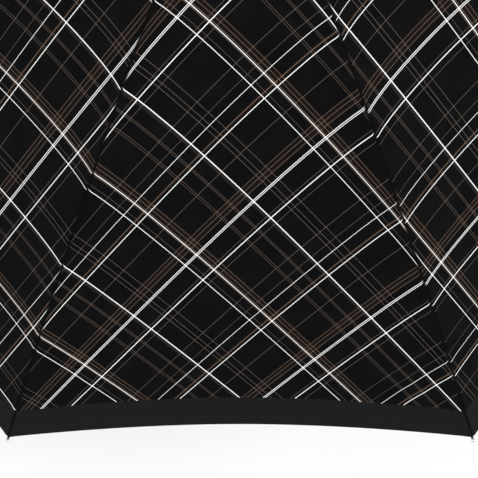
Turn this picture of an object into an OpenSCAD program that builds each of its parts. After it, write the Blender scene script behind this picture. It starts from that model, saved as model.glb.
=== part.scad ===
// A full-length stick umbrella, open. It has eight fluted steel ribs, a runner that slides on a
// steel shaft, a crook handle and a canopy of eight sewn gores.
// The origin is on the shaft's axis at the lowest point of the crook, and +Z runs up the shaft.
// Rib 1 is 22.5 degrees to the right of the front (-Y), and the ribs are counted anticlockwise
// from above. Gore i is between rib i and rib i + 1, so gore 8 faces the front.

/* [Canopy] */
// Length of the cloth from the top of the canopy to a rib's tip, along the rib
cloth_len = 580; // [500:1:700]
// Slope of the cloth at the top of the canopy, in degrees down from level
top_slope = 12; // [8:0.5:16]
// Slope of the cloth at the joint brackets
joint_slope = 33; // [27:0.5:36]
// Slope of the cloth at the rib tips
hem_slope = 43.6; // [38:0.5:50]
// How far the cloth hangs in between two ribs, as a share of the distance between them
sag_share = 0.055; // [0.02:0.005:0.09]
// How sharply the cloth curls down beside a rib: 2 is a plain arc
sag_power = 1.87; // [1.6:0.01:2.6]
// Thickness of a gore
cloth_t = 0.4; // [0.3:0.05:0.6]

/* [Frame] */
// Distance along the cloth from the top to the joint bracket
joint_at = 290; // [230:1:340]
// Radius of the two wire rings that the ribs and the stretchers hang on
ring_r = 11; // [10:0.25:14]
// Thickness of the ring wires
wire_d = 1.2; // [1:0.1:1.4]
// Width of a rib's channel
rib_w = 3; // [2.6:0.1:3.6]
// Depth of a rib's channel
rib_d = 2.4; // [2:0.1:3]
// Width of a stretcher's channel
stretcher_w = 2.8; // [2.4:0.1:3.4]
// Depth of a stretcher's channel
stretcher_d = 2; // [1.8:0.1:2.4]
// Thickness of the sheet that the channels are folded from
channel_wall = 0.5; // [0.4:0.05:0.6]
// How far the stretcher's rivet is below the middle of the rib
bracket_drop = 4; // [3.8:0.1:6]
// Radius of the ball on a rib's tip
ball_r = 1.7; // [1.4:0.1:2.6]

/* [Shaft and runner] */
// Outer diameter of the shaft
shaft_d = 10; // [8:0.25:12]
// Wall of the shaft's tube
shaft_wall = 0.8; // [0.6:0.1:1.2]
// Length of the runner's sleeve
sleeve_len = 50; // [40:1:70]
// Wall of the runner's sleeve
sleeve_wall = 1.7; // [1.2:0.1:2.4]
// Height of the slotted hub of the crown and of the runner
hub_h = 8; // [7:0.5:12]
// Angle of the ribs' arms from the shaft when the umbrella is folded
folded_angle = 2; // [1:0.25:5]
// Length of the ferrule above the cloth
ferrule_len = 74; // [40:1:110]

/* [Handle] */
// Diameter of the crook
crook_d = 21; // [17:0.5:26]
// Radius of the crook's bend, to the middle of the bar
bend_r = 30; // [24:0.5:40]
// Length of the straight grip, from the bend to the collar
grip_len = 95; // [70:1:140]
// Length of the straight end of the hook
hook_len = 16; // [6:1:40]

/* [Tie strap] */
// Length of the strap
strap_len = 150; // [100:1:190]
// Width of the strap
strap_w = 15; // [10:1:22]
// How far from the hem the strap is sewn on
strap_sewn_at = 205; // [195:1:230]

/* [Hidden] */
ribs = 8;

// Clearances
run = 0.06;      // between a shaft or pin and the hole that it turns or slides in
side = 0.2;      // beside a tongue in its slot
apart = 0.4;     // between pieces that pass each other
seam_gap = 0.4;  // between the edges of two gores, over the rib
cloth_gap = 0.35; // between the cloth and what is under or over it

// Finish of round pieces
round_fn = 64;
small_fn = 32;

// Layout round the shaft
half = 180 / ribs;
function azimuth(i) = -90 + half + (i - 1) * 2 * half;

// The cloth over a rib is two arcs that meet at the joint bracket. A point is [out, down].
arc_1 = joint_at * 180 / (PI * (joint_slope - top_slope));
outer_len = cloth_len - joint_at;
arc_2 = outer_len * 180 / (PI * (hem_slope - joint_slope));
function slope(s) = s < joint_at
    ? top_slope + s / arc_1 * 180 / PI
    : joint_slope + (s - joint_at) / arc_2 * 180 / PI;
function on_arc(radius, from, to) = radius * [sin(to) - sin(from), cos(from) - cos(to)];
function cloth(s) = s < joint_at
    ? on_arc(arc_1, top_slope, slope(s))
    : on_arc(arc_1, top_slope, joint_slope) + on_arc(arc_2, joint_slope, slope(s));
// A point below the cloth over a rib, as [out, down]
function under(s, depth) = cloth(s) + depth * [-sin(slope(s)), cos(slope(s))];

// The middle of a rib is this far under the cloth, so that the rib's edges clear it. The cloth
// falls away on both sides of a rib, and its flat facets cut inside the true curve.
fall_beside_rib = rib_w / 4;
facet_sag = 0.35;
rib_drop = cloth_t / 2 + cloth_gap + rib_d / 2 + fall_beside_rib + facet_sag;

// Slope of the rib at its pivot on the crown's ring
pivot_slope = asin((ring_r + arc_1 * sin(top_slope)) / (arc_1 - rib_drop));
pivot_at = (pivot_slope - top_slope) * arc_1 * PI / 180;
crown_drop = under(pivot_at, rib_drop)[1];
bracket = under(joint_at, rib_drop + bracket_drop);

// The arm from the crown's ring to the bracket is as long as the stretcher, so the runner's
// height changes by twice the arm's height.
arm_out = bracket[0] - ring_r;
arm_down = bracket[1] - crown_drop;
arm = norm([arm_out, arm_down]);
open_angle = atan2(arm_out, arm_down);
fold_travel = open_angle - folded_angle;
runner_drop = 2 * arm_down;

// How much the outer half of a rib straightens when the umbrella is folded, so that its tip
// comes to lie beside the shaft
outer_chord = (joint_slope + hem_slope) / 2;
straighten = outer_chord + fold_travel - 90;

// Heights
crook_r = crook_d / 2;
bend_z = bend_r + crook_r;
grip_top = bend_z + grip_len;
stow_gap = 16;
crown_z = grip_top + stow_gap + sleeve_len + hub_h / 2 + 2 * arm * cos(folded_angle);
top_z = crown_z + crown_drop;
runner_z = crown_z - runner_drop;

// Small parts
wire_r = wire_d / 2;
shaft_r = shaft_d / 2;
hub_r = ring_r + 3;
eye_r = wire_r + 1.25;
hub_core_r = ring_r - eye_r - apart;
eye_bore = wire_r + run + 0.04;
tongue_t = 1.6;
tongue_h = 2;
tongue_len = 12;
rivet_r = 0.5;
cheek_t = 0.6;
cheek_r = 1.9;
cheek_len = 8;
leaf_t = 1.2;
leaf_h = 2;
leaf_len = 8;
tip_wire_r = 0.6;
tip_wire_len = 9;
tip_wire_lift = rib_d / 2 - channel_wall - tip_wire_r + 0.2;
ball_out = 5;
rib_start = pivot_at + hub_r - ring_r + 4;
knuckle = cheek_r + 0.9;
cap_r = 10;
cap_h = 5;
rosette_r = 15;
rosette_t = 0.8;
collar_h = 12;
collar_wall = 1;
socket_depth = 60;
hook_cap_h = 7;
catch_out = 3;
catch_h = 16;
catch_t = 1.4;
catch_pin_r = 0.7;
catch_pin_drop = 4;
top_catch_z = runner_z - hub_h / 2 - sleeve_len - apart - catch_h;
bottom_catch_z = grip_top + stow_gap + 12;
pin_heights = [top_catch_z - catch_pin_drop, bottom_catch_z + catch_h + catch_pin_drop];
crown_pin_z = crown_z - hub_h / 2 - 2;
strap_t = 0.9;
button_r = 6;
button_from_end = 14;

// Puts a piece drawn in the X-Z plane, X outward, onto rib i's plane
module on_rib(i) {
    rotate([0, 0, azimuth(i)]) children();
}

// A plate in the X-Z plane that is thick along Y
module plate(thickness) {
    rotate([90, 0, 0]) linear_extrude(thickness, center = true) children();
}

// A round pin or hole along Y at [out, up]
module cross_pin(at, radius, length) {
    translate([at[0], 0, at[1]]) rotate([90, 0, 0])
        cylinder(r = radius, h = length, center = true, $fn = small_fn);
}

// Section of a folded channel that is open on its inner side, around the middle of the rib
module channel(width, depth) {
    difference() {
        square([depth, width], center = true);
        translate([-channel_wall, 0])
            square([depth, width - 2 * channel_wall], center = true);
    }
}

// Sweeps a section, drawn as [height above the middle, across], along a piece of the rib's arc
module along_arc(i, from, to, depth) {
    inner = to <= joint_at;
    arc = inner ? arc_1 : arc_2;
    start_slope = inner ? top_slope : joint_slope;
    start = inner ? 0 : joint_at;
    centre = cloth(start) + arc * [-sin(start_slope), cos(start_slope)];
    on_rib(i)
        translate([centre[0], 0, top_z - centre[1]])
        rotate([0, slope(from) - 90, 0])
        rotate([-90, 0, 0])
        rotate_extrude(angle = slope(to) - slope(from), $fn = 360)
        translate([arc - depth, 0])
        children();
}

// A place on a rib as [out, up], for plates and pins
function place(s, depth) = let (p = under(s, depth)) [p[0], top_z - p[1]];

// ---- Shaft, handle and ferrule ----

module shaft() {
    foot = grip_top - socket_depth;
    head = top_z + cap_h + ferrule_len / 3;
    color("#202124") difference() {
        translate([0, 0, foot]) cylinder(r = shaft_r, h = head - foot, $fn = round_fn);
        translate([0, 0, foot - 1])
            cylinder(r = shaft_r - shaft_wall, h = head - foot + 2, $fn = round_fn);
        for (z = [top_catch_z, bottom_catch_z]) {
            translate([0, -catch_t / 2 - side, z - 1])
                cube([shaft_r + 1, catch_t + 2 * side, catch_h + 2]);
        }
        for (z = concat(pin_heights, [crown_pin_z])) cross_pin([0, z], catch_pin_r, 3 * shaft_r);
    }
}

module shaft_pins() {
    color("#b8babd") {
        for (z = pin_heights)
            cross_pin([0, z], catch_pin_r, 2 * shaft_r);
        cross_pin([0, crown_pin_z], catch_pin_r, 2 * hub_core_r);
    }
}

// A blade with its pin below a sloping edge and a flat ledge on top. It is drawn upright at z = 0.
module spring_catch() {
    inner = shaft_r - shaft_wall - apart;
    difference() {
        plate(catch_t) polygon([
            [-inner + 2, -6], [inner - 1, -6], [inner - 1, 0],
            [shaft_r + catch_out, catch_h - 3], [shaft_r + catch_out, catch_h],
            [inner - 1, catch_h], [-inner + 2, catch_h],
        ]);
        cross_pin([0, -catch_pin_drop], catch_pin_r + run, 3 * shaft_r);
    }
}

// Its ledge holds the open runner up
module top_catch() {
    color("#b8babd") translate([0, 0, top_catch_z]) spring_catch();
}

// It is upside down, so that its ledge keeps the folded runner from rising
module bottom_catch() {
    color("#b8babd") translate([0, 0, bottom_catch_z + catch_h]) mirror([0, 0, 1]) spring_catch();
}

module ferrule() {
    base = top_z + cap_h;
    wide = shaft_r + 1.8;
    narrow = shaft_r - 0.6;
    nose = 4;
    color("#1b1c1e") difference() {
        translate([0, 0, base]) rotate_extrude($fn = round_fn) polygon([
            [0, 0], [wide, 0], [wide, 8], [wide - 1.2, 9], [wide - 1.2, 12],
            [narrow, ferrule_len - 14], [narrow + 1, ferrule_len - 13],
            [narrow + 1, ferrule_len - nose], [narrow - 1.4, ferrule_len], [0, ferrule_len],
        ]);
        translate([0, 0, base - 1])
            cylinder(r = shaft_r + 0.02, h = ferrule_len / 3 + 1.2, $fn = round_fn);
    }
}

module top_cap() {
    seat = cloth_t / 2 + cloth_gap + rosette_t;
    rise = tan(top_slope);
    color("#c4c6c9") translate([0, 0, top_z]) rotate_extrude($fn = round_fn) polygon([
        [shaft_r + 0.02, seat], [cap_r, seat - (cap_r - shaft_r) * rise],
        [cap_r, seat + 1.2 - (cap_r - shaft_r) * rise], [cap_r - 2, cap_h - 1.2],
        [shaft_r + 2.4, cap_h], [shaft_r + 0.02, cap_h],
    ]);
}

module rosette() {
    low = cloth_t / 2 + cloth_gap - 0.02;
    rise = tan(top_slope);
    hole = shaft_r + 0.3;
    color("#1d1e20") translate([0, 0, top_z]) rotate_extrude($fn = round_fn) polygon([
        [hole, low - (hole - shaft_r) * rise], [rosette_r, low - (rosette_r - shaft_r) * rise],
        [rosette_r, low + rosette_t - 0.04 - (rosette_r - shaft_r) * rise],
        [hole, low + rosette_t - 0.04 - (hole - shaft_r) * rise],
    ]);
}

// A hub with one slot for each rib or stretcher, which swings on the wire ring inside it
module slotted_hub(z, above, below, bevel) {
    translate([0, 0, z]) difference() {
        rotate_extrude($fn = round_fn) polygon([
            [0, -below], [hub_r - 0.5, -below], [hub_r, 0.5 - below],
            [hub_r, above - bevel], [hub_r - 2, above], [0, above],
        ]);
        rotate_extrude($fn = round_fn)
            translate([ring_r, 0]) circle(r = wire_r + 0.02, $fn = small_fn);
        for (i = [1:ribs])
            rotate([0, 0, azimuth(i)])
                translate([hub_core_r, -tongue_t / 2 - side, -below - 1])
                cube([hub_r, tongue_t + 2 * side, above + below + 2]);
    }
}

// How far below the top of the canopy the cloth's lowest point is at a distance from the shaft
function lowest_cloth(out) =
    cloth(out / cos(half))[1] + 2 * out * tan(half) * sag_share + cloth_t / 2;

module crown() {
    above = crown_drop - lowest_cloth(hub_r - 2) - cloth_gap;
    bevel = lowest_cloth(hub_r) - lowest_cloth(hub_r - 2);
    color("#2a2b2e") difference() {
        union() {
            slotted_hub(crown_z, above, hub_h / 2, bevel);
            translate([0, 0, crown_z - hub_h - 1])
                cylinder(r = hub_core_r, h = hub_h / 2 + 2, $fn = round_fn);
        }
        translate([0, 0, crown_z - 2 * hub_h])
            cylinder(r = shaft_r + 0.02, h = 4 * hub_h, $fn = round_fn);
        cross_pin([0, crown_pin_z], catch_pin_r, 2 * hub_core_r + 2);
    }
}

module ring_wire(z) {
    translate([0, 0, z]) rotate_extrude($fn = round_fn)
        translate([ring_r, 0]) circle(r = wire_r, $fn = small_fn);
}

module crown_wire() {
    color("#b8babd") ring_wire(crown_z);
}

module handle() {
    color("#17181a") difference() {
        union() {
            translate([0, 0, bend_z]) cylinder(r = crook_r, h = grip_len, $fn = round_fn);
            translate([bend_r, 0, bend_z]) rotate([-90, 0, 0])
                rotate_extrude(angle = 180, $fn = round_fn)
                translate([bend_r, 0]) circle(r = crook_r, $fn = round_fn);
            translate([2 * bend_r, 0, bend_z]) cylinder(r = crook_r, h = hook_len, $fn = round_fn);
        }
        translate([0, 0, grip_top - socket_depth])
            cylinder(r = shaft_r + 0.02, h = socket_depth + 1, $fn = round_fn);
    }
}

module handle_end() {
    r = crook_r;
    color("#c4c6c9") translate([2 * bend_r, 0, bend_z + hook_len])
        rotate_extrude($fn = round_fn) polygon(concat(
            [[0, 0], [r, 0]],
            [for (a = [0:10:90]) [r - 4 + 4 * cos(a), hook_cap_h - 4 + 4 * sin(a)]],
            [[0, hook_cap_h]]
        ));
}

module collar() {
    outer = crook_r + collar_wall;
    lip = 2;
    color("#c4c6c9") translate([0, 0, grip_top]) rotate_extrude($fn = round_fn) polygon([
        [crook_r + 0.02, -collar_h + lip], [outer, -collar_h + lip], [outer, lip - 0.8],
        [outer - 0.8, lip], [shaft_r + run, lip], [shaft_r + run, 0.02], [crook_r + 0.02, 0.02],
    ]);
}

// ---- Runner ----

module runner() {
    bore = shaft_r + run;
    low = runner_z - hub_h / 2 - sleeve_len;
    window_z = low + bottom_catch_z - (grip_top + stow_gap);
    color("#232427") difference() {
        union() {
            slotted_hub(runner_z, hub_h / 2, hub_h / 2, 0.6);
            translate([0, 0, low]) rotate_extrude($fn = round_fn) polygon([
                [0, 0], [bore + sleeve_wall + 0.8, 0], [bore + sleeve_wall + 0.8, 4],
                [bore + sleeve_wall, 5], [bore + sleeve_wall, sleeve_len - 4],
                [hub_core_r, sleeve_len - 2], [hub_core_r, sleeve_len + 1], [0, sleeve_len + 1],
            ]);
        }
        translate([0, 0, low - 1]) cylinder(r = bore, h = sleeve_len + hub_h + 2, $fn = round_fn);
        translate([0, -catch_t / 2 - apart, window_z - 1])
            cube([2 * shaft_r, catch_t + 2 * apart, catch_h + 2]);
    }
}

module runner_wire() {
    color("#b8babd") ring_wire(runner_z);
}

// ---- Ribs and stretchers ----

module rib(i) {
    hinge = [ring_r, crown_z];
    mid = place(joint_at, rib_drop);
    rivet = place(joint_at, rib_drop + bracket_drop);
    root_end = place(pivot_at + tongue_len, rib_drop);
    color("#303236") {
        difference() {
            union() {
                along_arc(i, rib_start, joint_at - knuckle, rib_drop) channel(rib_w, rib_d);
                on_rib(i) plate(tongue_t) {
                    translate(hinge) circle(r = eye_r, $fn = small_fn);
                    translate(hinge) rotate(-pivot_slope - 0.4)
                        translate([0, -tongue_h / 2]) square([norm(root_end - hinge), tongue_h]);
                }
                on_rib(i) for (y = [-1, 1])
                    translate([0, y * (leaf_t / 2 + side + cheek_t / 2), 0]) plate(cheek_t) {
                        translate(mid) circle(r = rib_d / 2, $fn = small_fn);
                        translate(rivet) circle(r = cheek_r, $fn = small_fn);
                        translate(mid) rotate(-joint_slope)
                            translate([-cheek_r, -bracket_drop])
                            square([2 * cheek_r, bracket_drop]);
                        translate(mid) rotate(-joint_slope)
                            translate([-cheek_len, -rib_d / 2]) square([cheek_len, rib_d]);
                    }
            }
            on_rib(i) cross_pin(hinge, eye_bore, rib_w + 2);
        }
        on_rib(i) for (at = [mid, rivet]) {
            cross_pin(at, rivet_r, leaf_t + 2 * side + 2 * cheek_t + 0.5);
            for (y = [-1, 1])
                translate([0, y * (leaf_t / 2 + side + cheek_t + 0.25), 0])
                    cross_pin(at, 2 * rivet_r, 0.5);
        }
    }
}

module rib_end(i) {
    mid = place(joint_at, rib_drop);
    last = cloth_len - tip_wire_len;
    wire_at = place(last, rib_drop);
    wire_slope = slope(last);
    color("#303236") difference() {
        union() {
            along_arc(i, joint_at + knuckle, last, rib_drop) channel(rib_w, rib_d);
            on_rib(i) plate(leaf_t) {
                translate(mid) circle(r = 1.4, $fn = small_fn);
                translate(mid) rotate(-joint_slope)
                    translate([0, -leaf_h / 2]) square([leaf_len, leaf_h]);
            }
            on_rib(i) translate([wire_at[0], 0, wire_at[1]]) rotate([0, 90 + wire_slope, 0])
                translate([-tip_wire_lift, 0, -6])
                cylinder(r = tip_wire_r, h = 6 + tip_wire_len + ball_out, $fn = small_fn);
        }
        on_rib(i) cross_pin(mid, rivet_r + run, rib_w + 2);
    }
}

module tip(i) {
    last = cloth_len - tip_wire_len;
    wire_at = place(last, rib_drop);
    color("#cfd1d3") on_rib(i) translate([wire_at[0], 0, wire_at[1]])
        rotate([0, 90 + slope(last), 0])
        translate([-tip_wire_lift, 0, 0])
        difference() {
            translate([0, 0, tip_wire_len + ball_out]) sphere(r = ball_r, $fn = small_fn);
            cylinder(r = tip_wire_r + 0.02, h = tip_wire_len + ball_out + 0.02, $fn = small_fn);
        }
}

module stretcher(i) {
    low = [ring_r, runner_z];
    high = place(joint_at, rib_drop + bracket_drop);
    rise = atan2(high[1] - low[1], high[0] - low[0]);
    from = hub_r - ring_r + 4;
    until = arm - knuckle;
    color("#3a3c40") on_rib(i) difference() {
        union() {
            translate([low[0], 0, low[1]]) rotate([0, -rise, 0]) {
                translate([from, 0, 0]) rotate([0, 90, 0]) linear_extrude(until - from)
                    rotate(180) channel(stretcher_w, stretcher_d);
                plate(tongue_t) {
                    circle(r = eye_r, $fn = small_fn);
                    translate([0, -tongue_h / 2 + 0.2]) square([tongue_len, tongue_h - 0.2]);
                }
                translate([arm, 0, 0]) plate(leaf_t) {
                    circle(r = 1.3, $fn = small_fn);
                    translate([-8, -0.8]) square([8, 1.6]);
                }
            }
        }
        cross_pin(low, eye_bore, rib_w + 2);
        cross_pin(high, rivet_r + run, rib_w + 2);
    }
}

// ---- Canopy ----

canopy_hole = 8.5;
rows_above = 7; // rows of the gore's grid above the joint, closer together near the top
rows_below = 7;
gore_rows = concat(
    [for (k = [0:rows_above - 1]) canopy_hole + (joint_at - canopy_hole) * pow(k / rows_above, 1.5)],
    [for (k = [0:rows_below]) joint_at + outer_len * k / rows_below]
);
half_columns = 5; // columns on each side of the gore's middle, closer together beside the ribs
gore_columns = [for (k = [-half_columns:half_columns]) sign(k) * pow(abs(k) / half_columns, 0.65)];

// A point of the gore that is centred on +X: s is the distance along the cloth from the top and
// t runs from -1 at one rib to 1 at the next
function gore_point(s, t, lift) =
    let (
        p = cloth(s),
        width = p[0] * sin(half),
        edge = 1 - seam_gap / 2 / (width * cos(half)),
        u = t * edge,
        pitch = atan(tan(slope(s)) / cos(half)),
        sag = 2 * width * sag_share * (1 - pow(abs(u), sag_power)) - lift
    )
    [p[0] * cos(half) - sag * sin(pitch), u * width, top_z - p[1] - sag * cos(pitch)];

module gore(i) {
    rows = len(gore_rows);
    columns = len(gore_columns);
    layer = rows * columns;
    function at(k, j, top) = k * columns + j + (top ? 0 : layer);
    points = [
        for (lift = [cloth_t / 2, -cloth_t / 2], s = gore_rows, t = gore_columns)
            gore_point(s, t, lift)
    ];
    faces = concat(
        [for (k = [0:rows - 2], j = [0:columns - 2])
            each [[at(k, j, true), at(k, j + 1, true), at(k + 1, j + 1, true)],
                  [at(k, j, true), at(k + 1, j + 1, true), at(k + 1, j, true)]]],
        [for (k = [0:rows - 2], j = [0:columns - 2])
            each [[at(k, j, false), at(k + 1, j + 1, false), at(k, j + 1, false)],
                  [at(k, j, false), at(k + 1, j, false), at(k + 1, j + 1, false)]]],
        [for (j = [0:columns - 2])
            each [[at(0, j, true), at(0, j, false), at(0, j + 1, false)],
                  [at(0, j, true), at(0, j + 1, false), at(0, j + 1, true)]]],
        [for (j = [0:columns - 2], k = [rows - 1])
            each [[at(k, j, true), at(k, j + 1, false), at(k, j, false)],
                  [at(k, j, true), at(k, j + 1, true), at(k, j + 1, false)]]],
        [for (k = [0:rows - 2])
            each [[at(k, 0, true), at(k + 1, 0, false), at(k, 0, false)],
                  [at(k, 0, true), at(k + 1, 0, true), at(k + 1, 0, false)]]],
        [for (k = [0:rows - 2], j = [columns - 1])
            each [[at(k, j, true), at(k, j, false), at(k + 1, j, false)],
                  [at(k, j, true), at(k + 1, j, false), at(k + 1, j, true)]]]
    );
    color("#16171a") rotate([0, 0, azimuth(i) + half]) polyhedron(points, faces, convexity = 6);
}

// ---- Tie strap, on rib 5 at the back ----

strap_rib = 5;
strap_over = -(cloth_t / 2 + cloth_gap + strap_t / 2);

module tie_strap() {
    from = cloth_len - strap_sewn_at;
    color("#141517") along_arc(strap_rib, from, from + strap_len, strap_over)
        square([strap_t, strap_w], center = true);
}

module strap_button() {
    s = cloth_len - strap_sewn_at + strap_len - button_from_end;
    at = place(s, strap_over - strap_t / 2);
    color("#26272a") on_rib(strap_rib) translate([at[0], 0, at[1]]) rotate([0, slope(s), 0])
        rotate_extrude($fn = round_fn) polygon([
            [0, 0.05], [button_r, 0.05], [button_r, 0.9], [button_r - 0.8, 1.7],
            [button_r - 2.2, 1.7], [button_r - 2.8, 1.3], [0, 1.3],
        ]);
}

shaft();
shaft_pins();
ferrule();
top_cap();
rosette();
crown();
crown_wire();
handle();
handle_end();
collar();
runner();
runner_wire();
top_catch();
bottom_catch();
tie_strap();
strap_button();
for (i = [1:ribs]) {
    rib(i);
    rib_end(i);
    tip(i);
    stretcher(i);
    gore(i);
}
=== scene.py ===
# %% [markdown]
# A stick umbrella, open and seen from above. The steel frame, the shaft and the crook come as
# solid parts; here the canopy is sewn from real cloth, and every part gets its finish.
# All lengths are metres, +Z runs up the shaft, and the front gore faces -Y.

# %% Load the frame
import math
import bpy
import numpy as np
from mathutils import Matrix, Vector


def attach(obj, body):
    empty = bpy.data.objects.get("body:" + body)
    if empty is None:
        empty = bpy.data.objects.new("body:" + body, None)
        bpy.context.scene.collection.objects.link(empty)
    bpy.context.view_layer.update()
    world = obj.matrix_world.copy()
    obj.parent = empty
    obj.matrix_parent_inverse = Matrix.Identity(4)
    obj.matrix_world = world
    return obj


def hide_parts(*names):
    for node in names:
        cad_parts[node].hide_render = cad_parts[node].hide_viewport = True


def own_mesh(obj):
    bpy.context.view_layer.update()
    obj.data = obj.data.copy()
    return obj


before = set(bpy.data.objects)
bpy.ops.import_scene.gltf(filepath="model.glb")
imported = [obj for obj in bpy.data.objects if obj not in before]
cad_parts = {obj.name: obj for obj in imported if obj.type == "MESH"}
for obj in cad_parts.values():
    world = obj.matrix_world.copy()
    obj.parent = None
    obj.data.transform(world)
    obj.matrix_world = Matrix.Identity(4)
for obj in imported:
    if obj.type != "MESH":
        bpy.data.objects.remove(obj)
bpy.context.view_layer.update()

# %% [markdown]
# The cloth over a rib is two arcs that meet at the joint bracket, the steeper one outside.
# Between two ribs it hangs in a shallow trough. These are the sizes that the frame was drawn
# with, so a thread that is placed by them lies on the frame.

# %% The shape of the canopy
MM = 0.001
CLOTH_LEN = 580 * MM
JOINT_AT = 290 * MM
TOP_SLOPE, JOINT_SLOPE, HEM_SLOPE = (math.radians(a) for a in (12, 33, 43.6))
SAG_SHARE, SAG_POWER = 0.055, 1.87
HALF = math.pi / 8
RIBS = range(1, 9)
ARC_1 = JOINT_AT / (JOINT_SLOPE - TOP_SLOPE)
ARC_2 = (CLOTH_LEN - JOINT_AT) / (HEM_SLOPE - JOINT_SLOPE)
RIB_DROP = 2.85 * MM


def azimuth(i):
    """The direction of rib i, seen from above."""
    return -math.pi / 2 + HALF + (i - 1) * 2 * HALF


def slope(s):
    return np.where(s < JOINT_AT, TOP_SLOPE + s / ARC_1, JOINT_SLOPE + (s - JOINT_AT) / ARC_2)


def over_rib(s):
    """How far out and how far down the cloth is at a distance s from the top, along a rib."""
    s = np.asarray(s, float)
    a = slope(np.minimum(s, JOINT_AT))
    b = slope(np.maximum(s, JOINT_AT))
    out = ARC_1 * (np.sin(a) - math.sin(TOP_SLOPE)) + ARC_2 * (np.sin(b) - math.sin(JOINT_SLOPE))
    down = ARC_1 * (math.cos(TOP_SLOPE) - np.cos(a)) + ARC_2 * (math.cos(JOINT_SLOPE) - np.cos(b))
    return out, down


TOP_Z = 760.487 * MM
print("reach", over_rib(CLOTH_LEN), "canopy top", TOP_Z)


def gore_point(i, s, t, lift=0.0):
    """A point of gore i: t runs from -1 at rib i to 1 at the next rib, lift is outward."""
    out, down = over_rib(s)
    width = out * math.sin(HALF)
    pitch = np.arctan(np.tan(slope(s)) / math.cos(HALF))
    sag = 2 * width * SAG_SHARE * (1 - np.abs(t) ** SAG_POWER) - lift
    x = out * math.cos(HALF) - sag * np.sin(pitch)
    y = t * width
    z = TOP_Z - down - sag * np.cos(pitch)
    a = azimuth(i) + HALF
    return np.stack([x * math.cos(a) - y * math.sin(a), x * math.sin(a) + y * math.cos(a), z + 0 * x], -1)


# %% [markdown]
# A node tree is easier to read as sums than as links, so a small class stands for one output
# socket, and the usual signs add Math nodes. Any other node comes from one method.

# %% Shader sums
class Wire:
    def __init__(self, finish, socket):
        self.finish, self.socket = finish, socket

    def math(self, operation, *others):
        return self.finish.node("ShaderNodeMath", {"operation": operation}, [self, *others])

    def __add__(self, other): return self.math("ADD", other)
    def __sub__(self, other): return self.math("SUBTRACT", other)
    def __mul__(self, other): return self.math("MULTIPLY", other)
    def __truediv__(self, other): return self.math("DIVIDE", other)

    def __rsub__(self, other):
        return self.finish.node("ShaderNodeMath", {"operation": "SUBTRACT"}, [other, self])

    def __gt__(self, other): return self.math("GREATER_THAN", other)
    def __lt__(self, other): return self.math("LESS_THAN", other)
    def __neg__(self): return self * -1.0
    def __abs__(self): return self.math("ABSOLUTE")
    __radd__ = __add__
    __rmul__ = __mul__

    def ramp(self, low, high, to_low=0.0, to_high=1.0):
        """Runs from to_low to to_high as this value runs from low to high, and stays there."""
        settings = {"interpolation_type": "SMOOTHSTEP"}
        return self.finish.node("ShaderNodeMapRange", settings, {
            "Value": self, "From Min": low, "From Max": high, "To Min": to_low, "To Max": to_high})


class Finish:
    """A material and the few ways that its nodes are made."""

    def __init__(self, name, **constants):
        self.material = bpy.data.materials.new(name)
        self.material.use_nodes = True
        self.tree = self.material.node_tree
        self.shader = self.tree.nodes["Principled BSDF"]
        for socket, value in constants.items():
            self.shader.inputs[socket.replace("_", " ")].default_value = value

    def plug(self, socket, value):
        if isinstance(value, Wire):
            self.tree.links.new(value.socket, socket)
        else:
            socket.default_value = value

    def node(self, kind, settings, inputs, output=0):
        made = self.tree.nodes.new(kind)
        for name, value in settings.items():
            setattr(made, name, value)
        items = inputs.items() if isinstance(inputs, dict) else enumerate(inputs)
        for key, value in items:
            self.plug(made.inputs[key], value)
        return Wire(self, made.outputs[output])

    def set(self, **values):
        for socket, value in values.items():
            self.plug(self.shader.inputs[socket.replace("_", " ")], value)

    def place(self, scale=(1, 1, 1), turn=(0, 0, 0)):
        """Object coordinates, stretched and turned to suit a pattern."""
        coordinates = self.node("ShaderNodeTexCoord", {}, [], "Object")
        return self.node("ShaderNodeMapping", {}, {"Vector": coordinates, "Scale": scale, "Rotation": turn})

    def along(self, vector, axis):
        return self.node("ShaderNodeSeparateXYZ", {}, [vector], axis)

    def noise(self, vector, scale, detail=2.0, rough=0.5):
        return self.node("ShaderNodeTexNoise", {}, {
            "Vector": vector, "Scale": scale, "Detail": detail, "Roughness": rough})

    def mix(self, share, a, b, kind="MIX"):
        made = self.tree.nodes.new("ShaderNodeMix")
        made.data_type, made.blend_type = "RGBA", kind
        for socket, value in zip((made.inputs[0], made.inputs[6], made.inputs[7]), (share, a, b)):
            self.plug(socket, (*value, 1.0) if isinstance(value, tuple) and len(value) == 3 else value)
        return Wire(self, made.outputs[2])

    def bump(self, height, depth, strength=1.0):
        """Height runs from 0 to 1 and stands for a real depth in metres."""
        inputs = {"Strength": strength, "Distance": depth, "Height": height}
        self.set(Normal=self.node("ShaderNodeBump", {}, inputs))


def paint(piece, finish):
    """Gives every face of a piece one finish."""
    piece.data.materials.clear()
    piece.data.materials.append(finish.material)


# %% [markdown]
# The cloth is a fine plain weave. Its plaid is a sett: a list of stripes of coloured yarn that
# a weaver repeats, one list for the warp and one for the weft. Both repeat every 146.4 mm. A
# stripe is given by its middle, its width and its yarn.

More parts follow.
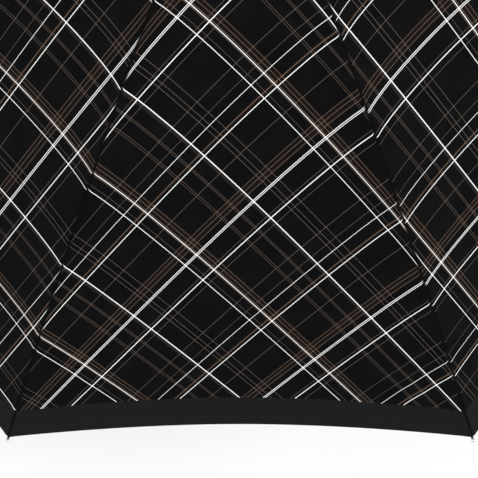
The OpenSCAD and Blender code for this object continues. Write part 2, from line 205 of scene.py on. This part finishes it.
# %% The sett of the plaid
REPEAT = 146.4
WHITE = (0.88, 0.88, 0.87)
STONE = (0.116, 0.090, 0.076)
FAINT = (0.096, 0.071, 0.056)
HAZE = (0.014, 0.0115, 0.010)
BROWN = (0.0040, 0.0024, 0.0016)
TAN = (0.140, 0.092, 0.062)
WARP = {
    WHITE: [(2.3, 0.88), (69.3, 0.68), (82.9, 0.60)],
    STONE: [(120.9, 0.34), (127.5, 0.36), (131.5, 0.36)],
    FAINT: [(16.7, 0.34), (18.2, 0.34), (29.7, 0.34), (31.6, 0.30), (78.7, 0.32)],
    TAN: [(60.9, 0.34), (64.3, 0.38), (67.8, 0.46), (70.6, 0.36)],
    BROWN: [(64.5, 10.0)],
    HAZE: [(4.4, 2.4)],
}
WEFT = {
    WHITE: [(1.95, 0.62), (3.35, 0.54), (22.9, 0.76), (79.4, 0.44), (93.9, 0.66)],
    STONE: [(19.7, 0.34), (29.1, 0.34), (59.4, 0.32)],
    FAINT: [(71.5, 0.34), (112.9, 0.42)],
    TAN: [(90.4, 0.62), (134.4, 0.32), (137.8, 0.38), (141.7, 0.38)],
    BROWN: [(138.3, 9.0), (90.4, 3.0)],
}
for name, sett in (("warp", WARP), ("weft", WEFT)):
    print(name, "has", sum(len(rows) for rows in sett.values()), "stripes in", len(sett), "yarns")

# %% [markdown]
# A gore is cut flat and sewn along its two sides, so the plaid is drawn on the flat cloth. The
# pattern piece is laid with its middle on the warp, or at 45 degrees to it, in turn, and so the
# stripes keep one direction all round the canopy, but they don't meet at the seams. The sums below
# were fitted to the stripes, so the lower part comes out a little larger than its sewn shape. The flat
# place of each point is kept as a UV map, "weave", and its distance down the cloth and from
# the seam as a second one, "place".

# %% Where a point lies on the flat cloth
STEPS = np.linspace(0, CLOTH_LEN, 1201)
DOWN_STEPS = np.sqrt(1 - (np.cos(slope(STEPS)) * math.sin(HALF)) ** 2)
DOWN_FLAT = np.concatenate([[0], np.cumsum((DOWN_STEPS[1:] + DOWN_STEPS[:-1]) / 2 * np.diff(STEPS))])
ACROSS_GAIN = 1.0077
MIDWAY = 350 * MM
CUT_AT = {1: (65.1, 110.0), 2: (20.0, 75.0), 3: (110.0, 30.0), 4: (55.0, 120.0),
          5: (5.0, 60.0), 6: (130.0, 95.0), 7: (91.6, 76.4), 8: (84.7, 100.4)}
WARP_TURN, WEFT_TURN = math.radians(-135), math.radians(-45)
ROLL = 1.8 * MM


def on_flat_cloth(s, t):
    """Across and down on the flat gore, from sums fitted to the stripes."""
    width = over_rib(s)[0] * math.sin(HALF)
    down = np.interp(s, STEPS, DOWN_FLAT)
    lower = (down - MIDWAY) / MIDWAY
    from_seam = (1 - np.abs(t)) * width
    v = down + MM * (33.6 * lower ** 2 + 22.9 * lower ** 3 + t ** 2 * (3.97 * lower - 1.75) - 2.19 * t ** 8)
    u = t * width * ACROSS_GAIN * (1.0343 + 0.1956 * lower) + 1.1 * MM * t ** 3
    return u + np.sign(t) * ROLL * np.exp(-from_seam / ROLL), v


def weave_place(i, s, t):
    """The plaid's warp and weft coordinates, in metres, for points of gore i."""
    u, v = on_flat_cloth(s, t)
    middle = azimuth(i) + HALF
    warp = v * math.cos(middle - WARP_TURN) - u * math.sin(middle - WARP_TURN)
    weft = v * math.cos(middle - WEFT_TURN) - u * math.sin(middle - WEFT_TURN)
    cut = CUT_AT[i]
    return warp - (cut[0] - 2) * MM, weft - (cut[1] - 3) * MM


# %% [markdown]
# Each gore is made of four pieces: the halves that go with its two ribs, and on each the part
# above and the part below the rib's joint, so that the cloth can follow the frame when it
# folds. They meet edge to edge and read as one sheet. A piece is a grid of points on the
# curved surface with a second, lower layer under it, closed all round.

# %% Make a cloth piece
CLOTH_T = 0.3 * MM
RIDGE, DIP = 0.30 * MM, 0.80 * MM
HEM_BOW, BAND = 2.2 * MM, 26.6 * MM


def seam_lift(s, t):
    """The cloth rises a little beside a seam and turns down into it."""
    width = over_rib(s)[0] * math.sin(HALF)
    from_seam = (1 - np.abs(t)) * width
    ridge = RIDGE * np.exp(-((from_seam - 3.2 * MM) / (1.8 * MM)) ** 2)
    return ridge - DIP * np.exp(-(from_seam / (1.0 * MM)) ** 2)


def tension(i, s, t):
    """Very shallow folds that fan out from a rib's tip, where the cloth is pulled."""
    width = over_rib(s)[0] * math.sin(HALF)
    across, along = (1 - np.abs(t)) * width, CLOTH_LEN - s
    reach = np.hypot(across, along) + 1e-6
    fan = np.arctan2(across, along + 1e-6)
    fold = np.sin(9 * fan + i + np.sign(t)) * np.sin(np.clip(fan, 0, math.pi / 2) * 2) ** 2
    return 0.45 * MM * fold * np.exp(-((reach - 60 * MM) / (40 * MM)) ** 2)


def grid(s, t):
    """Rows of places down the cloth and columns across it. The hem is cut to bow out a little."""
    S, T = np.meshgrid(s, t, indexing="ij")
    in_band = np.clip((S - CLOTH_LEN + BAND) / BAND, 0, 1)
    return S + HEM_BOW * (1 - T ** 2) * in_band, T


def strip(s, side, near, far, columns=4):
    """A strip beside the seam on one side of a gore, from near to far from it."""
    S, d = np.meshgrid(s, np.linspace(near, far, columns), indexing="ij")
    T = side * (1 - d / (over_rib(S)[0] * math.sin(HALF)))
    return (S, T) if side > 0 else (S[:, ::-1], T[:, ::-1])


def shell(name, i, S, T, low, high):
    """A closed piece of gore i between two lifts."""
    lift = seam_lift(S, T) + tension(i, S, T)
    top = gore_point(i, S, T, lift + high).reshape(-1, 3)
    under = gore_point(i, S, T, lift + low).reshape(-1, 3)
    n = S.size
    cells = np.arange(n).reshape(S.shape)
    a, b, c, d = cells[:-1, :-1], cells[:-1, 1:], cells[1:, 1:], cells[1:, :-1]
    quads = np.stack([a, d, c, b], -1).reshape(-1, 4)
    faces = [quads, quads[:, ::-1] + n]
    for edge in (cells[0], cells[-1][::-1], cells[::-1, 0], cells[:, -1]):
        p, q = edge[:-1], edge[1:]
        faces.append(np.stack([p, q, q + n, p + n], -1))
    faces = np.concatenate(faces)
    mesh = bpy.data.meshes.new(name)
    mesh.from_pydata(np.concatenate([top, under]).tolist(), [], faces.tolist())
    corners = np.zeros(len(mesh.loops), int)
    mesh.loops.foreach_get("vertex_index", corners)
    corners %= n
    warp, weft = (w.ravel() for w in weave_place(i, S, T))
    seam = ((1 - np.abs(T)) * over_rib(S)[0] * math.sin(HALF)).ravel()
    for uv, x, y in (("weave", warp, weft), ("place", S.ravel(), seam)):
        layer = mesh.uv_layers.new(name=uv)
        layer.data.foreach_set("uv", np.stack([x[corners], y[corners]], -1).astype(np.float32).ravel())
    mesh.polygons.foreach_set("use_smooth", [True] * len(mesh.polygons))
    piece = bpy.data.objects.new(name, mesh)
    bpy.context.scene.collection.objects.link(piece)
    mesh.update()
    outward = Vector(mesh.polygons[0].normal).z
    if outward < 0:
        mesh.flip_normals()
    mesh.set_sharp_from_angle(angle=math.radians(50))
    return piece


# %% [markdown]
# When the umbrella folds, the cloth between two ribs tucks in towards the shaft. For each piece the table
# gives a direction to squeeze it along, a share of its width and an offset; the direction is turned to each
# piece's rib, but nothing is squeezed, so the pieces are only hung on their ribs. The direction, the share
# and the offset were found by a search, which kept a seam near its rib, brought the two halves of a gore
# together and held the cloth clear of the shaft. It is a compromise: there are thin slits near the crown.

# %% How the cloth tucks in
TUCK = {
    "above": ((-0.04884, 0.98097, -0.18793), 0.1920, -140.027 * MM),
    "below": ((-0.14268, 0.95911, -0.24445), 0.0979, -195.905 * MM),
}


def follow(piece, i, side, part):
    """Hangs a piece on a rib or on its outer half. The tuck direction is worked out, but the piece is not
    squeezed.
    """
    rib_no = i if side == "a" else i % 8 + 1
    body = f"rib_{rib_no}" if part == "above" else f"rib_end_{rib_no}"
    (out, across, up), keep, offset = TUCK[part]
    across = across if side == "a" else -across
    a = azimuth(rib_no)
    n = Vector((out * math.cos(a) - across * math.sin(a), out * math.sin(a) + across * math.cos(a), up))
    n.normalize()
    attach(piece, body)
    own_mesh(piece)
    return body


def flat_size(S, T):
    """Width, length and area of a piece on the flat cloth."""
    u, v = on_flat_cloth(S, T)
    du, dv = u[1:, 1:] - u[:-1, :-1], v[1:, 1:] - v[:-1, :-1]
    eu, ev = u[1:, :-1] - u[:-1, 1:], v[1:, :-1] - v[:-1, 1:]
    return (float(np.ptp(u)), float(np.ptp(v))), float(np.abs(du * ev - dv * eu).sum() / 2)


# %% Sew the canopy
TOP_HOLE = 5.4 * MM
ROWS_ABOVE = np.linspace(TOP_HOLE, JOINT_AT, 44)
ROWS_BELOW = np.concatenate([
    np.linspace(JOINT_AT, CLOTH_LEN - 8 * MM, 42), CLOTH_LEN - MM * np.array([4, 2, 1, 0.4, 0])])
COLUMNS = 1 - np.linspace(0, 1, 41)[::-1] ** 2.0
HALVES = {"a": -COLUMNS[::-1], "b": COLUMNS}
SEAM_SIDE = {"a": -1, "b": 1}
cloth_pieces, flat_sizes = [], {}
for i in RIBS:
    for side, t in HALVES.items():
        for part, rows in (("above", ROWS_ABOVE), ("below", ROWS_BELOW)):
            S, T = grid(rows, t)
            piece = shell(f"cloth_{i}{side}_{part}", i, S, T, -CLOTH_T / 2, CLOTH_T / 2)
            body = follow(piece, i, side, part)
            hem = []
            if part == "below":
                S2, T2 = grid(CLOTH_LEN - MM * np.linspace(9, 0.3, 6), t)
                hem = [shell(f"hem_{i}{side}", i, S2, T2, -0.62 * MM, -0.24 * MM)]
                follow(hem[0], i, side, part)
            seam_rows = np.clip(rows, 12 * MM, CLOTH_LEN - 10 * MM)[::2]
            beside = strip(seam_rows, SEAM_SIDE[side], 0.3 * MM, 7 * MM)
            turned = shell(f"seam_{i}{side}_{part}", i, *beside, -0.75 * MM, -0.3 * MM)
            cloth_pieces += [piece, turned, *hem]
            follow(turned, i, side, part)
            size, area = flat_size(S, T)
            flat_sizes[part] = [round(x, 4) for x in (*size, area)]
    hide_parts(f"gore_{i}")
print("cloth pieces", len(cloth_pieces), "triangles", sum(len(c.data.polygons) * 2 for c in cloth_pieces))
print("flat width, length and area", flat_sizes)

# %% The finish of the woven cloth
cloth = Finish("canopy_cloth", Sheen_Weight=0.015, Sheen_Roughness=0.4, Specular_IOR_Level=0.05)
weave = cloth.node("ShaderNodeUVMap", {"uv_map": "weave"}, [])
spot = cloth.node("ShaderNodeUVMap", {"uv_map": "place"}, [])
warp_at, weft_at = cloth.along(weave, "X"), cloth.along(weave, "Y")
down_at, seam_at = cloth.along(spot, "X"), cloth.along(spot, "Y")


def stripes(at, sett):
    """The colour of a sett's stripes at a place across them."""
    place = (at / (REPEAT * MM)).math("FRACT") * REPEAT
    colour = (0, 0, 0)
    for yarn, rows in sett.items():
        shown = sum(place.math("COMPARE", middle, width / 2) for middle, width in rows)
        colour = cloth.mix(1.0, colour, cloth.mix(shown, (0, 0, 0), yarn), "ADD")
    return colour


THREAD = 0.30 * MM
over = (warp_at * (math.pi / THREAD)).math("SINE") * (weft_at * (math.pi / THREAD)).math("SINE")
yarn = over * 0.5 + 0.5
plaid = cloth.mix(1.0, stripes(warp_at, WARP), stripes(weft_at, WEFT), "ADD")
patches = cloth.noise(weave, 45.0, 3.0)
ground = cloth.mix(patches.ramp(0.35, 0.7), (0.0012, 0.0014, 0.0020), (0.0028, 0.0027, 0.0029))
woven = cloth.mix(1.0, ground, plaid, "ADD")
border = (down_at > (CLOTH_LEN - BAND))
woven = cloth.mix(border, woven, (0.0085, 0.0087, 0.0090))
woven = cloth.mix(yarn.ramp(0.0, 1.0, 0.0, 0.22), woven, (0, 0, 0))
# Painted shade: within about 2 mm of a seam the cloth is darkened almost to black, standing in for the shade
# in the seam's crease.
woven = cloth.mix(seam_at.ramp(0.0005, 0.0019, 0.92, 0.0), woven, (0.0006, 0.0006, 0.0007))
slub = cloth.noise(cloth.node("ShaderNodeMapping", {}, {"Vector": weave, "Scale": (300, 4000, 1)}), 1.0, 1.0)
cloth.set(Base_Color=woven, Roughness=0.68 + slub * 0.12)
cloth.bump(yarn * 0.8 + slub * 0.2, 0.00005, 0.7)
for piece in cloth_pieces:
    paint(piece, cloth)

# %% [markdown]
# The frame's steel is dipped in black paint, with small chips where bright metal shows. The tips,
# pins, ring wires and caps are nickel plated. Each has its own fine scratches.

# %% Metal, plastic and thread
PAINT_BLACK, BARE_STEEL = (0.0065, 0.0065, 0.0075), (0.42, 0.41, 0.40)
TIP_WIRE_FROM = 0.4885  # the last of the rib wire, past the cloth, is left bright


def painted_steel():
    made = Finish("black_steel", Coat_Weight=0.25, Coat_Roughness=0.12)
    spot = made.place()
    wear = (made.noise(spot, 340.0, 5.0, 0.7) * made.noise(spot, 45.0, 2.0)).ramp(0.36, 0.42)
    reach = made.node("ShaderNodeVectorMath", {"operation": "LENGTH"}, [made.place((1, 1, 0))], "Value")
    plated = reach > TIP_WIRE_FROM
    bare = wear.math("MAXIMUM", plated)
    grain = made.noise(made.place((400, 400, 60)), 1.0, 3.0)
    made.set(Base_Color=made.mix(bare, PAINT_BLACK, BARE_STEEL), Metallic=bare,
             Roughness=0.34 + grain * 0.14 - bare * 0.06)
    made.bump(made.noise(spot, 900.0, 3.0), 0.00002, 0.5)
    return made


def plated_nickel():
    made = Finish("bright_nickel", Metallic=1.0)
    spot = made.place()
    scratch = made.noise(made.place((60, 60, 2400)), 1.0, 4.0, 0.6)
    tarnish = made.noise(spot, 120.0, 4.0).ramp(0.5, 0.75)
    made.set(Base_Color=made.mix(tarnish, (0.70, 0.69, 0.67), (0.46, 0.44, 0.41)),
             Roughness=0.16 + scratch * 0.12 + tarnish * 0.12)
    made.bump(scratch, 0.00001, 0.4)
    return made


def moulded_plastic():
    made = Finish("black_plastic", Specular_IOR_Level=0.45)
    spot = made.place()
    spark = made.node("ShaderNodeTexVoronoi", {}, {"Vector": spot, "Scale": 2200.0})
    scuffs = made.noise(made.place((1, 1, 6)), 160.0, 5.0, 0.65).ramp(0.58, 0.7)
    made.set(Base_Color=made.mix(scuffs, (0.010, 0.010, 0.011), (0.028, 0.028, 0.029)),
             Roughness=0.42 + scuffs * 0.2 + spark * 0.06)
    made.bump(spark, 0.00003, 0.5)
    return made


def sewing_thread():
    made = Finish("black_thread", Sheen_Weight=0.1, Specular_IOR_Level=0.2)
    along_twist = {"Vector": made.place(), "Scale": 1100.0}
    twist = made.node("ShaderNodeTexWave", {"bands_direction": "DIAGONAL"}, along_twist)
    made.set(Base_Color=made.mix(twist, (0.006, 0.006, 0.007), (0.016, 0.016, 0.018)), Roughness=0.75)
    made.bump(twist, 0.00003, 0.6)
    return made


def plain_web():
    """The plain black cloth of the strap and the rosette, woven a little coarser."""
    made = Finish("black_web", Sheen_Weight=0.03, Specular_IOR_Level=0.1)
    spot = made.place((1, 1, 1), (0, 0, math.radians(22.5)))
    waves = [(made.along(spot, axis) * (math.pi / (0.45 * MM))).math("SINE") for axis in "XYZ"]
    rib_weave = waves[0] * waves[1] + waves[2] * 0.5
    lint = made.noise(spot, 800.0, 3.0).ramp(0.62, 0.8)
    made.set(Base_Color=made.mix(lint * 0.35, (0.0055, 0.0055, 0.006), (0.03, 0.03, 0.032)),
             Roughness=0.8 + rib_weave * 0.06)
    made.bump(rib_weave * 0.4 + 0.5, 0.00008, 0.6)
    return made


# %% [markdown]
# The crook is one bar of ash, steamed and bent, then stained and lacquered. Its grain follows
# the bend, so the pattern is drawn on a straight bar: a place is turned back round the bend
# until the bar is straight, and the grain is stretched along it.

# %% Wood
BEND_R, BEND_Z = 30 * MM, 40.5 * MM
STAIN_DARK, STAIN_LIGHT = (0.020, 0.0065, 0.0028), (0.115, 0.040, 0.014)


def bent_wood():
    made = Finish("crook_wood", Coat_Weight=0.6, Coat_Roughness=0.07)
    spot = made.place()
    x, y, z = (made.along(spot, axis) for axis in "XYZ")
    right, low = x - BEND_R, BEND_Z - z
    below = low > 0.0
    round_bend = low.math("ARCTAN2", -right)
    radius = (right * right + low * low).math("SQRT")
    hook = right > 0.0
    straight_out = right * hook * 2.0 - right
    out = straight_out + below * (radius - straight_out)
    side_length = (1.0 - hook * 2.0) * low
    bend_length = round_bend * BEND_R
    length = side_length + below * (bend_length - side_length)
    bar = made.node("ShaderNodeCombineXYZ", {}, [out, y, length])
    long_way = made.node("ShaderNodeMapping", {}, {"Vector": bar, "Scale": (1, 1, 0.06)})
    wander = made.noise(long_way, 60.0, 3.0)
    rings = ((out * 1.0 + y * 0.35 + wander * 0.006) * 1500.0).math("SINE") * 0.5 + 0.5
    fine_way = made.node("ShaderNodeMapping", {}, {"Vector": bar, "Scale": (2600, 2600, 110)})
    pores = made.noise(fine_way, 1.0, 3.0)
    open_pore = pores.ramp(0.56, 0.66)
    figure = made.noise(long_way, 240.0, 4.0)
    tone = (rings * 0.45 + figure * 0.75).ramp(0.2, 1.0)
    colour = made.mix(tone, STAIN_DARK, STAIN_LIGHT)
    made.set(Base_Color=made.mix(open_pore * 0.75, colour, (0.008, 0.003, 0.0015)),
             Roughness=0.34 + open_pore * 0.2)
    made.bump(1.0 - open_pore, 0.00004, 0.35)
    return made


# %% Give each solid part its finish
steel, nickel, plastic, thread, web, wood = (
    make() for make in (painted_steel, plated_nickel, moulded_plastic, sewing_thread, plain_web, bent_wood))
BY_PART = {
    "shaft": steel, "ferrule": steel, "crown": plastic, "runner": plastic, "strap_button": plastic,
    "rosette": web, "tie_strap": web, "handle": wood,
}
BY_START = {"rib": steel, "stretcher": steel}
for name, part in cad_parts.items():
    if not name.startswith("gore"):
        finish = BY_PART.get(name) or BY_START.get(name.split("_")[0]) or nickel
        part.data.materials.clear()
        part.data.materials.append(finish.material)
print("finishes", len(bpy.data.materials))

# %% [markdown]
# Stitches are small and there are thousands, so they are grown along a line: a Geometry Nodes tree
# spaces points along it, sets one short thread on each point and turns it to lie along the line.
# The tree is built once, and each run of stitches gives it a line and a pitch.

# %% Grow stitches along a line
def stitch_tree():
    tree = bpy.data.node_groups.new("run_of_stitches", "GeometryNodeTree")
    sockets = {}
    given_sockets = (
        ("Line", "Geometry", None), ("Pitch", "Float", 0.0024), ("Length", "Float", 0.0019),
        ("Thread", "Float", 0.00017), ("Uneven", "Float", 0.06), ("Seed", "Int", 7),
        ("Finish", "Material", None))
    for name, kind, value in given_sockets:
        item = tree.interface.new_socket(name, in_out="INPUT", socket_type="NodeSocket" + kind)
        if value is not None:
            item.default_value = value
        sockets[name] = item.identifier
    tree.interface.new_socket("Stitches", in_out="OUTPUT", socket_type="NodeSocketGeometry")

    def grow(kind, settings=None, **inputs):
        node = tree.nodes.new(kind)
        for name, value in (settings or {}).items():
            setattr(node, name, value)
        for name, value in inputs.items():
            socket = node.inputs[name.replace("_", " ")]
            if isinstance(value, bpy.types.NodeSocket):
                tree.links.new(value, socket)
            else:
                socket.default_value = value
        return node

    given = grow("NodeGroupInput").outputs
    line = grow("GeometryNodeMeshToCurve", Mesh=given["Line"]).outputs[0]
    by_length = {"mode": "LENGTH"}
    spaced = grow("GeometryNodeResampleCurve", by_length, Curve=line, Length=given["Pitch"]).outputs[0]
    ball = grow("GeometryNodeMeshUVSphere", Segments=6, Rings=5, Radius=1.0).outputs[0]
    half = grow("ShaderNodeMath", {"operation": "MULTIPLY"})
    tree.links.new(given["Length"], half.inputs[0])
    half.inputs[1].default_value = 0.5
    size = grow("ShaderNodeCombineXYZ", X=half.outputs[0], Y=given["Thread"], Z=given["Thread"]).outputs[0]
    stitch = grow("GeometryNodeTransform", Geometry=ball, Scale=size).outputs[0]
    tangent = grow("GeometryNodeInputTangent").outputs[0]
    turn = grow("FunctionNodeAlignRotationToVector", {"axis": "X"}, Vector=tangent).outputs[0]
    less = grow("ShaderNodeMath", {"operation": "SUBTRACT"})
    less.inputs[0].default_value = 1.0
    tree.links.new(given["Uneven"], less.inputs[1])
    varied = grow("FunctionNodeRandomValue", {"data_type": "FLOAT"}, Seed=given["Seed"])
    tree.links.new(less.outputs[0], varied.inputs[2])
    varied.inputs[3].default_value = 1.0
    placed = grow("GeometryNodeInstanceOnPoints", Points=spaced, Instance=stitch, Rotation=turn)
    tree.links.new(varied.outputs[1], placed.inputs["Scale"])
    real = grow("GeometryNodeRealizeInstances", Geometry=placed.outputs[0]).outputs[0]
    smooth = grow("GeometryNodeSetShadeSmooth", Geometry=real).outputs[0]
    finished = grow("GeometryNodeSetMaterial", Geometry=smooth, Material=given["Finish"]).outputs[0]
    out = grow("NodeGroupOutput")
    tree.links.new(finished, out.inputs[0])
    return tree, sockets


STITCH_TREE, STITCH_SOCKETS = stitch_tree()
stitch_count = 0


def stitches(name, lines, **values):
    """One mesh of stitches along one or more lines of points."""
    global stitch_count
    points, edges = [], []
    for line in lines:
        edges += [(len(points) + k, len(points) + k + 1) for k in range(len(line) - 1)]
        points += [tuple(p) for p in line]
    mesh = bpy.data.meshes.new(name + "_line")
    mesh.from_pydata(points, edges, [])
    piece = bpy.data.objects.new(name, mesh)
    bpy.context.scene.collection.objects.link(piece)
    grown = piece.modifiers.new("grow", "NODES")
    grown.node_group = STITCH_TREE
    for key, value in {"Finish": thread.material, **values}.items():
        grown[STITCH_SOCKETS[key]] = value
    baked = bpy.data.meshes.new_from_object(piece.evaluated_get(bpy.context.evaluated_depsgraph_get()))
    piece.modifiers.clear()
    piece.data = baked
    baked.name = name
    stitch_count += len(baked.polygons) // 30
    return piece


# %% Stitch the hem, the seams and the strap
for i in RIBS:
    for side, t in HALVES.items():
        S, T = grid(np.array([CLOTH_LEN - 7.5 * MM]), t)
        S = S + 0 * T
        hem_line = gore_point(i, S, T, seam_lift(S, T) + tension(i, S, T) + 0.17 * MM)[0]
        under_line = gore_point(i, S, T, seam_lift(S, T) + tension(i, S, T) - 0.64 * MM)[0]
        run = stitches(f"hem_stitches_{i}{side}", [hem_line, under_line], Seed=i)
        follow(run, i, side, "below")
        for part, rows in (("above", ROWS_ABOVE), ("below", ROWS_BELOW)):
            seam_rows = np.clip(rows, 14 * MM, CLOTH_LEN - 10 * MM)
            S, T = strip(seam_rows, SEAM_SIDE[side], 2.2 * MM, 2.2 * MM, 1)
            line = gore_point(i, S, T, seam_lift(S, T) + tension(i, S, T) - 0.77 * MM)[:, 0]
            run = stitches(f"seam_stitches_{i}{side}_{part}", [line], Pitch=0.003, Length=0.0024, Seed=10 + i)
            follow(run, i, side, part)


def on_rib(i, s, across, lift):
    """A point that goes with the cloth over rib i, across it and lifted off it."""
    out, down = over_rib(s)
    a = azimuth(i)
    x, z = out + lift * np.sin(slope(s)), TOP_Z - down + lift * np.cos(slope(s))
    east, north = x * math.cos(a) - across * math.sin(a), x * math.sin(a) + across * math.cos(a)
    return np.stack([east, north, z + 0 * across], -1)


STRAP_FROM, STRAP_TO, STRAP_TOP = 375 * MM, 525 * MM, 1.45 * MM
edge = np.linspace(STRAP_FROM + 1.5 * MM, STRAP_TO - 1.5 * MM, 60)
lines = [on_rib(5, edge, k * 6.1 * MM + 0 * edge, STRAP_TOP + 0.02 * MM) for k in (-1, 1)]
for s in (STRAP_FROM + 2 * MM, STRAP_FROM + 12 * MM, STRAP_TO - 2 * MM):
    across = np.linspace(-6.1, 6.1, 8) * MM
    lines.append(on_rib(5, s + 0 * across, across, STRAP_TOP + 0.02 * MM))
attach(stitches("strap_stitches", lines, Thread=0.00022, Seed=40), "rib_end_5")
print("stitches", stitch_count)

# %% [markdown]
# Each corner of the canopy is tied to the neck of its tip with a few turns of thread, and the
# seams are tied to the ribs with a loop of thread half way down each half of the rib.

# %% Tie the corners and the ribs
def thread_along(name, points, radius, body):
    """A round thread through a list of points."""
    curve = bpy.data.curves.new(name, "CURVE")
    curve.dimensions = "3D"
    curve.bevel_depth = radius
    curve.bevel_resolution = 2
    curve.use_fill_caps = True
    spline = curve.splines.new("POLY")
    spline.points.add(len(points) - 1)
    spline.points.foreach_set("co", np.c_[points, np.ones(len(points))].ravel())
    temporary = bpy.data.objects.new(name + "_line", curve)
    bpy.context.scene.collection.objects.link(temporary)
    mesh = bpy.data.meshes.new_from_object(temporary.evaluated_get(bpy.context.evaluated_depsgraph_get()))
    bpy.data.objects.remove(temporary)
    mesh.polygons.foreach_set("use_smooth", [True] * len(mesh.polygons))
    piece = bpy.data.objects.new(name, mesh)
    bpy.context.scene.collection.objects.link(piece)
    paint(piece, thread)
    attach(piece, body)
    return piece


WIRE_R, WIRE_FROM, WIRE_LIFT, THREAD_R = 0.62 * MM, 571 * MM, 0.3 * MM, 0.22 * MM
TURNS = np.linspace(0, 5 * 2 * math.pi, 90)
for i in RIBS:
    out, down = over_rib(WIRE_FROM)
    lean = float(slope(WIRE_FROM))
    a = azimuth(i)
    middle = -RIB_DROP + WIRE_LIFT
    far = (9.6 + 0.42 * TURNS / (2 * math.pi)) * MM
    round_x, round_y = (WIRE_R + THREAD_R) * np.cos(TURNS), (WIRE_R + THREAD_R) * np.sin(TURNS)
    x = out + far * math.cos(lean) + (middle + round_x) * math.sin(lean)
    z = TOP_Z - down - far * math.sin(lean) + (middle + round_x) * math.cos(lean)
    coil = np.stack([x * math.cos(a) - round_y * math.sin(a), x * math.sin(a) + round_y * math.cos(a), z], -1)
    corner = on_rib(i, np.array([CLOTH_LEN - 2.5 * MM]), np.array([0.0]), -0.9 * MM)
    thread_along(f"tip_thread_{i}", np.concatenate([corner, coil]), THREAD_R, f"rib_end_{i}")
    for k, (s, body) in enumerate(((150 * MM, f"rib_{i}"), (440 * MM, f"rib_end_{i}"))):
        turn = np.linspace(0, 2 * math.pi, 33)
        box = [np.sign(wave(turn)) * np.abs(wave(turn)) ** 0.4 for wave in (np.cos, np.sin)]
        loops = [on_rib(i, np.full(33, s + step * MM), 1.85 * MM * box[0], -2.62 * MM + 1.8 * MM * box[1])
                 for step in (-0.3, 0.3)]
        thread_along(f"tie_thread_{i}_{k}", np.concatenate(loops), THREAD_R, body)
print("threads", 8 * 3)

# %% [markdown]
# The view looks down on the front gore from 76 degrees, with a long lens. The floor is pale,
# and the light is soft and comes from above.

# %% Camera, light and floor
LOOK_DOWN = math.radians(76.42)
LENS_FROM_TOP, LENS_BELOW, LENS_LEFT = 2176.6 * MM, 350.4 * MM, 1.1 * MM
FIELD = 2 * math.atan(239 / 2891.2)
back = Vector((0, -math.cos(LOOK_DOWN), math.sin(LOOK_DOWN)))
up = Vector((0, math.sin(LOOK_DOWN), math.cos(LOOK_DOWN)))
camera = bpy.data.objects.new("camera", bpy.data.cameras.new("camera"))
camera.location = Vector((-LENS_LEFT, 0, TOP_Z)) + back * LENS_FROM_TOP - up * LENS_BELOW
camera.rotation_euler = back.to_track_quat("Z", "Y").to_euler()
camera.data.angle = FIELD
bpy.context.scene.collection.objects.link(camera)
bpy.context.scene.camera = camera
bpy.context.scene.view_settings.view_transform = "Standard"


def soft_light(name, at, towards, size, watts):
    data = bpy.data.lights.new(name, "AREA")
    data.shape, data.size, data.energy = "DISK", size, watts
    lamp = bpy.data.objects.new(name, data)
    lamp.location = at
    lamp.rotation_euler = (Vector(at) - Vector(towards)).to_track_quat("Z", "Y").to_euler()
    bpy.context.scene.collection.objects.link(lamp)


soft_light("key", (1.6, -1.2, 3.0), (0, 0, 0.5), 1.6, 60)
soft_light("fill", (-2.2, -0.6, 2.2), (0, 0, 0.4), 1.8, 22)
soft_light("rear", (0.2, 2.4, 2.4), (0, 0, 0.4), 1.6, 25)
world = bpy.data.worlds.new("studio")
world.use_nodes = True
world.node_tree.nodes["Background"].inputs["Color"].default_value = (1, 1, 1, 1)
world.node_tree.nodes["Background"].inputs["Strength"].default_value = 0.75
bpy.context.scene.world = world

floor_mesh = bpy.data.meshes.new("floor")
FLOOR = 8.0
corners = [(x * FLOOR, y * FLOOR, 0) for x, y in ((-1, -1), (1, -1), (1, 1), (-1, 1))]
floor_mesh.from_pydata(corners, [], [(0, 1, 2, 3)])
floor = bpy.data.objects.new("floor", floor_mesh)
bpy.context.scene.collection.objects.link(floor)
pale = Finish("pale_floor", Roughness=0.9)
pale.set(Base_Color=(0.93, 0.93, 0.93, 1))
floor.data.materials.append(pale.material)
